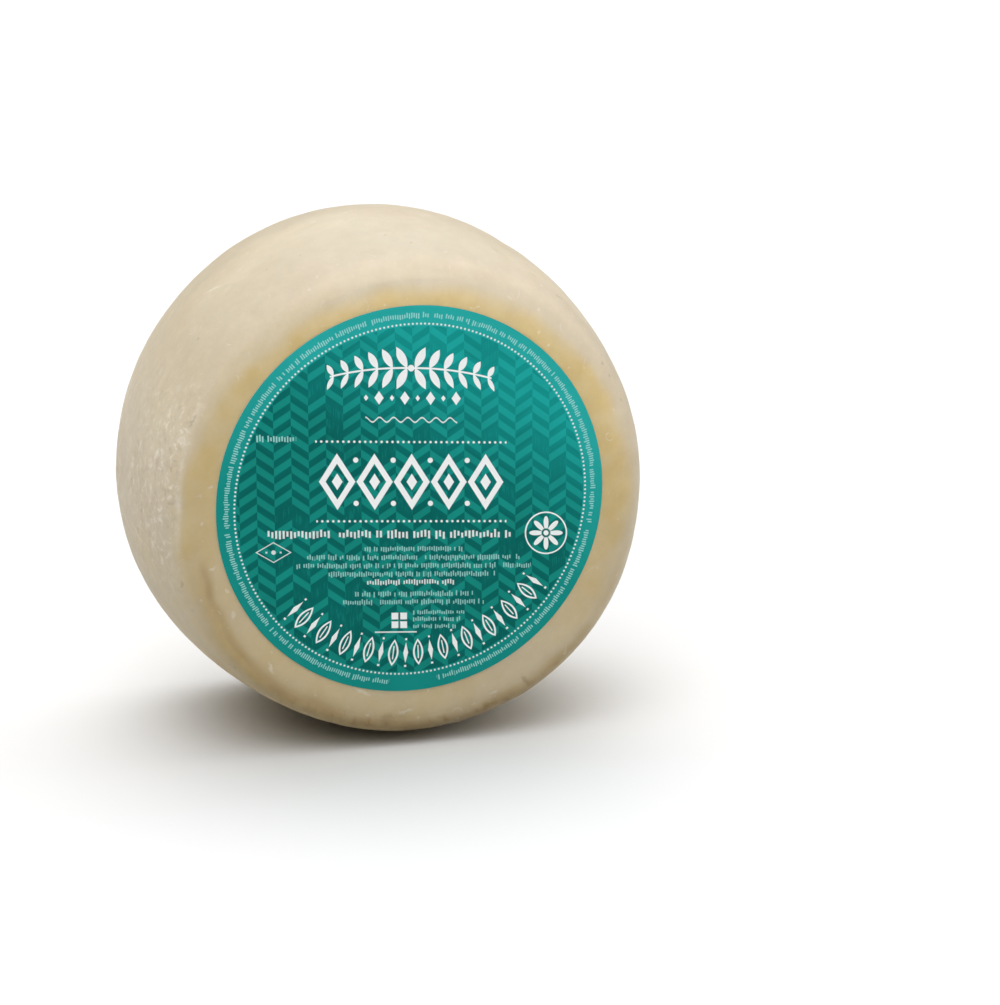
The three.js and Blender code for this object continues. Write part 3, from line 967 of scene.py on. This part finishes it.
    # the paper's own white shows at the cut edge and on the back
    geo = m.t.nodes.new("ShaderNodeNewGeometry")
    sep = m.t.nodes.new("ShaderNodeSeparateXYZ")
    m.t.links.new(geo.outputs["True Normal"], sep.inputs[0])
    facing = Num(m.t, sep.outputs[1]).ramp(-0.5, -0.7)
    ink = m.mix(facing, (0.80, 0.80, 0.77), ink)
    m.set("Base Color", ink)
    m.set("Roughness", grain.ramp(0.3, 0.7, 0.50, 0.60))
    m.set("Specular IOR Level", 0.05)
    b = m.bump(grain, 0.00002, 0.5)
    b = m.bump(cloud, 0.0006, 0.4, onto=b)
    m.set("Normal", b)
    return m.mat


# shaded and lit copies of each ink, for the light painted across the label
DARK_INK_SHADED, DARK_INK_LIT = (0.0008, 0.1295, 0.1152), (0.0054, 0.2824, 0.2613)
LIGHT_INK_SHADED, LIGHT_INK_LIT = (0.0061, 0.2491, 0.2082), (0.0111, 0.3674, 0.3416)
RING_INK_SHADED, RING_INK_LIT = (0.0067, 0.2659, 0.2360), (0.0206, 0.4058, 0.3838)
PRINT_WHITE, PRINT_SMALL = (0.965, 0.985, 0.985), (0.420, 0.790, 0.760)
label.data.materials.append(print_material())

for piece, node, slot in ((wheel, "cheese_wheel", "cheese_rind"), (label, "front_label", "label_paper")):
    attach(piece, "root")
    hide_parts(node)


# ---------------------------------------------------------------------------
# Floor, light and camera.
# ---------------------------------------------------------------------------
def make_floor():
    s = 9.0
    ob = make_mesh("floor", [(-s, -s, 0), (s, -s, 0), (s, s, 0), (-s, s, 0)], [(0, 1, 2, 3)], False)
    m = Tree("floor_paint")
    n = m.noise(3.0, 2, 0.5)
    m.set("Base Color", m.mix(n.ramp(0.3, 0.7), (0.752, 0.757, 0.764), (0.767, 0.772, 0.779)))
    m.set("Roughness", 0.9)
    m.set("Specular IOR Level", 0.1)
    ob.data.materials.append(m.mat)
    return ob


floor = make_floor()


def make_world():
    """A soft sky made of a few broad patches of light, each (azimuth from +X, elevation, strength), and dark between them."""
    world = bpy.data.worlds.new("studio")
    bpy.context.scene.world = world
    world.use_nodes = True
    t = world.node_tree
    t.nodes.clear()
    out = t.nodes.new("ShaderNodeOutputWorld")
    bg = t.nodes.new("ShaderNodeBackground")
    co = t.nodes.new("ShaderNodeTexCoord")
    light = None
    for azimuth, elevation, strength in SKY:
        a, e = math.radians(azimuth), math.radians(elevation)
        dot = t.nodes.new("ShaderNodeVectorMath")
        dot.operation = "DOT_PRODUCT"
        dot.inputs[1].default_value = (math.cos(e) * math.cos(a), math.cos(e) * math.sin(a), math.sin(e))
        t.links.new(co.outputs["Generated"], dot.inputs[0])
        patch = Num(t, dot.outputs["Value"]).max(0.0)._op("POWER", 10.0) * strength
        light = patch if light is None else light + patch
    light = light + SKY_ROUND
    t.links.new(light.socket, bg.inputs["Strength"])
    bg.inputs["Color"].default_value = (1.0, 0.995, 0.985, 1.0)
    t.links.new(bg.outputs[0], out.inputs[0])


SKY = [(0, 30, 1.23), (300, 30, 0.31), (120, 60, 1.88), (240, 60, 3.42), (60, 60, 2.98), (0, 90, 0.65)]
SKY_ROUND = 0.0
make_world()

MIDDLE = Vector((CX, CY, CZ))


def make_camera():
    azimuth, elevation, distance = math.radians(-14.304), math.radians(15.239), 1.400
    yaw, pitch = math.radians(-1.881), math.radians(0.548)
    data = bpy.data.cameras.new("camera")
    data.sensor_fit = "HORIZONTAL"
    data.sensor_width = 36.0
    data.lens = 3863.1 / 1000 * 36.0
    data.clip_start, data.clip_end = 0.05, 60.0
    ob = bpy.data.objects.new("camera", data)
    bpy.context.scene.collection.objects.link(ob)

    def back(a, e):
        return Vector((math.sin(a) * math.cos(e), -math.cos(a) * math.cos(e), math.sin(e)))

    ob.location = MIDDLE + back(azimuth, elevation) * distance
    ob.rotation_euler = back(azimuth + yaw, elevation + pitch).to_track_quat("Z", "Y").to_euler()
    bpy.context.scene.camera = ob


make_camera()

scene = bpy.context.scene
scene.view_settings.view_transform = "Standard"
scene.view_settings.look = "None"
scene.cycles.use_denoising = True

bpy.context.view_layer.update()
